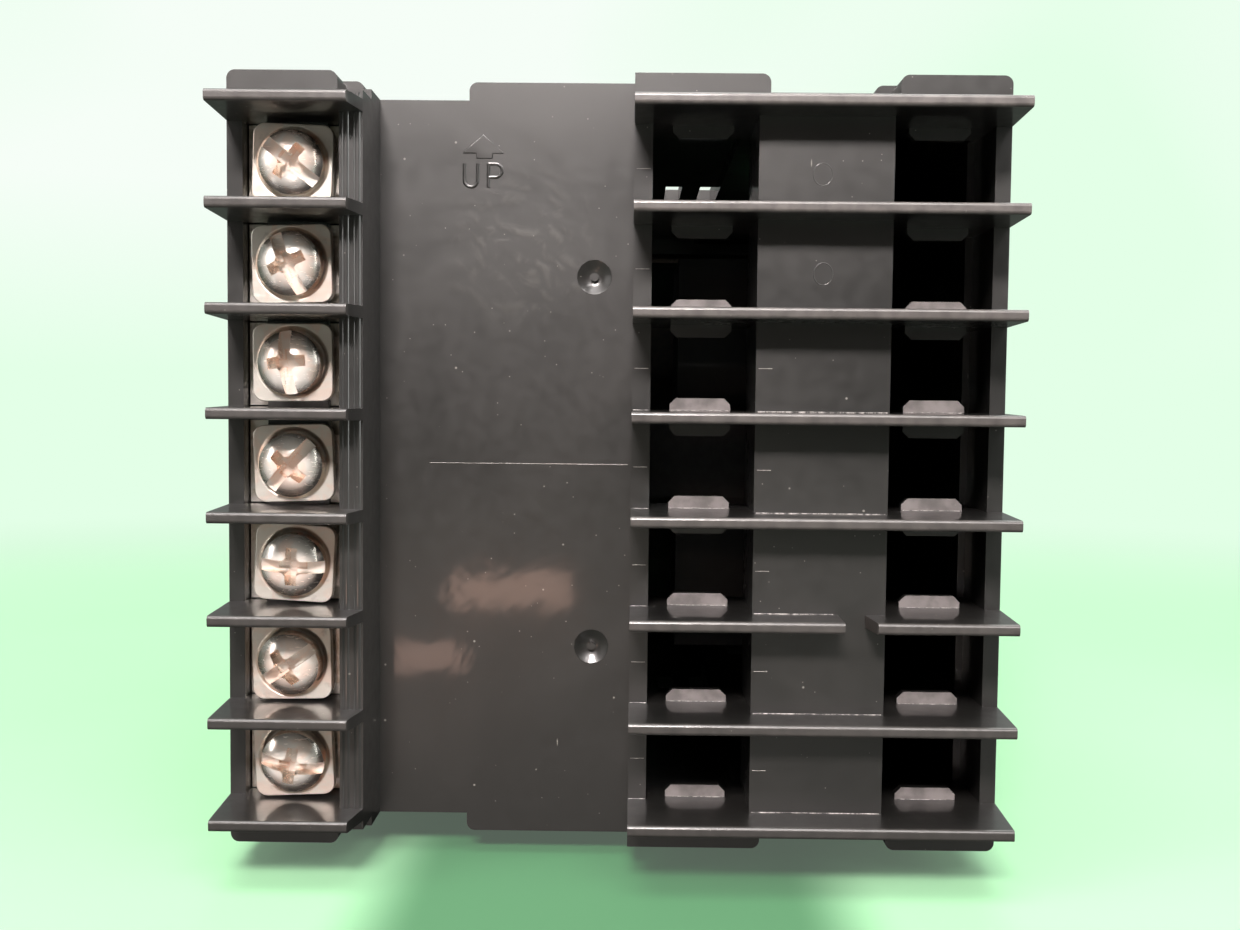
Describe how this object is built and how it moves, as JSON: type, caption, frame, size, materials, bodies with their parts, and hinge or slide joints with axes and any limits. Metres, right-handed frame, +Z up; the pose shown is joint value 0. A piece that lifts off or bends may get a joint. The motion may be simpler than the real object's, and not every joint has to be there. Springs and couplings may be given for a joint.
{
  "type": "pid temperature controller",
  "caption": "Square panel-mounting temperature controller with a display and keys in front and ribbed screw-terminal blocks at the rear.",
  "frame": {"origin": "centre of the case flange's rear face, the face that meets the panel", "axes": "+Z up, front looks along -Y, terminals look along +Y, +X to the right seen from the front"},
  "size_m": [0.072, 0.1116, 0.072],
  "materials": {
    "black": "moulded black, glossy",
    "window": "smoked clear plastic",
    "board": "green laminate",
    "digits": "dark digit module",
    "lamps": "red moulded lamps",
    "core": "varnished laminations",
    "relay": "dark relay housing",
    "sleeve": "heat-shrunk sleeve",
    "chip": "black moulding compound",
    "plunger": "black plastic",
    "keys": "dark grey, fine satin",
    "nickel": "warm nickel plate, scuffed"
  },
  "bodies": {
    "housing": {"case": "black", "bezel": "black", "display_window": "window", "display_board": "board", "pv_display": "digits", "sv_display": "digits", "indicator_lamps": "lamps", "main_board": "board", "power_board": "board", "rear_spacer": "black", "contact_strip": "black", "transformer": "core", "relay_control": "relay", "relay_alarm": "relay", "smoothing_capacitor": "sleeve", "processor": "chip", "switch_set": "chip", "switch_shift": "chip", "switch_down": "chip", "switch_up": "chip", "terminal_plate_1": "nickel", "terminal_plate_2": "nickel", "terminal_plate_3": "nickel", "terminal_plate_4": "nickel", "terminal_plate_5": "nickel", "terminal_plate_6": "nickel", "terminal_plate_7": "nickel"},
    "key_set": {"key_set": "keys", "plunger_set": "plunger"},
    "key_shift": {"key_shift": "keys", "plunger_shift": "plunger"},
    "key_down": {"key_down": "keys", "plunger_down": "plunger"},
    "key_up": {"key_up": "keys", "plunger_up": "plunger"},
    "washer_1": {"square_washer_1": "nickel"},
    "screw_1": {"terminal_screw_1": "nickel"},
    "washer_2": {"square_washer_2": "nickel"},
    "screw_2": {"terminal_screw_2": "nickel"},
    "washer_3": {"square_washer_3": "nickel"},
    "screw_3": {"terminal_screw_3": "nickel"},
    "washer_4": {"square_washer_4": "nickel"},
    "screw_4": {"terminal_screw_4": "nickel"},
    "washer_5": {"square_washer_5": "nickel"},
    "screw_5": {"terminal_screw_5": "nickel"},
    "washer_6": {"square_washer_6": "nickel"},
    "screw_6": {"terminal_screw_6": "nickel"},
    "washer_7": {"square_washer_7": "nickel"},
    "screw_7": {"terminal_screw_7": "nickel"}
  },
  "joints": [
    {"name": "press_set", "type": "slide", "parent": "housing", "child": "key_set", "axis": [0, 1, 0], "range_m": [0, 0.0004], "stiffness_N_per_m": 1500, "springref_m": -0.0006},
    {"name": "press_shift", "type": "slide", "parent": "housing", "child": "key_shift", "axis": [0, 1, 0], "range_m": [0, 0.0004], "stiffness_N_per_m": 1500, "springref_m": -0.0006},
    {"name": "press_down", "type": "slide", "parent": "housing", "child": "key_down", "axis": [0, 1, 0], "range_m": [0, 0.0004], "stiffness_N_per_m": 1500, "springref_m": -0.0006},
    {"name": "press_up", "type": "slide", "parent": "housing", "child": "key_up", "axis": [0, 1, 0], "range_m": [0, 0.0004], "stiffness_N_per_m": 1500, "springref_m": -0.0006},
    {"name": "lift_1", "type": "slide", "parent": "housing", "child": "washer_1", "axis": [0, 1, 0], "range_m": [-0.0004, 0.004]},
    {"name": "unscrew_1", "type": "hinge", "parent": "washer_1", "child": "screw_1", "pos_m": [0.02782, 0.094, 0.02571], "axis": [0, 1, 0], "range_deg": [-288, 2880]},
    {"name": "lift_2", "type": "slide", "parent": "housing", "child": "washer_2", "axis": [0, 1, 0], "range_m": [-0.0004, 0.004]},
    {"name": "unscrew_2", "type": "hinge", "parent": "washer_2", "child": "screw_2", "pos_m": [0.02782, 0.094, 0.01714], "axis": [0, 1, 0], "range_deg": [-288, 2880]},
    {"name": "lift_3", "type": "slide", "parent": "housing", "child": "washer_3", "axis": [0, 1, 0], "range_m": [-0.0004, 0.004]},
    {"name": "unscrew_3", "type": "hinge", "parent": "washer_3", "child": "screw_3", "pos_m": [0.02782, 0.094, 0.00857], "axis": [0, 1, 0], "range_deg": [-288, 2880]},
    {"name": "lift_4", "type": "slide", "parent": "housing", "child": "washer_4", "axis": [0, 1, 0], "range_m": [-0.0004, 0.004]},
    {"name": "unscrew_4", "type": "hinge", "parent": "washer_4", "child": "screw_4", "pos_m": [0.02782, 0.094, 0], "axis": [0, 1, 0], "range_deg": [-288, 2880]},
    {"name": "lift_5", "type": "slide", "parent": "housing", "child": "washer_5", "axis": [0, 1, 0], "range_m": [-0.0004, 0.004]},
    {"name": "unscrew_5", "type": "hinge", "parent": "washer_5", "child": "screw_5", "pos_m": [0.02782, 0.094, -0.00857], "axis": [0, 1, 0], "range_deg": [-288, 2880]},
    {"name": "lift_6", "type": "slide", "parent": "housing", "child": "washer_6", "axis": [0, 1, 0], "range_m": [-0.0004, 0.004]},
    {"name": "unscrew_6", "type": "hinge", "parent": "washer_6", "child": "screw_6", "pos_m": [0.02782, 0.094, -0.01714], "axis": [0, 1, 0], "range_deg": [-288, 2880]},
    {"name": "lift_7", "type": "slide", "parent": "housing", "child": "washer_7", "axis": [0, 1, 0], "range_m": [-0.0004, 0.004]},
    {"name": "unscrew_7", "type": "hinge", "parent": "washer_7", "child": "screw_7", "pos_m": [0.02782, 0.094, -0.02571], "axis": [0, 1, 0], "range_deg": [-288, 2880]}
  ],
  "couplings": [
    {"joint": "unscrew_1", "follows": "lift_1", "rad_per_m": 12566},
    {"joint": "unscrew_2", "follows": "lift_2", "rad_per_m": 12566},
    {"joint": "unscrew_3", "follows": "lift_3", "rad_per_m": 12566},
    {"joint": "unscrew_4", "follows": "lift_4", "rad_per_m": 12566},
    {"joint": "unscrew_5", "follows": "lift_5", "rad_per_m": 12566},
    {"joint": "unscrew_6", "follows": "lift_6", "rad_per_m": 12566},
    {"joint": "unscrew_7", "follows": "lift_7", "rad_per_m": 12566}
  ]
}
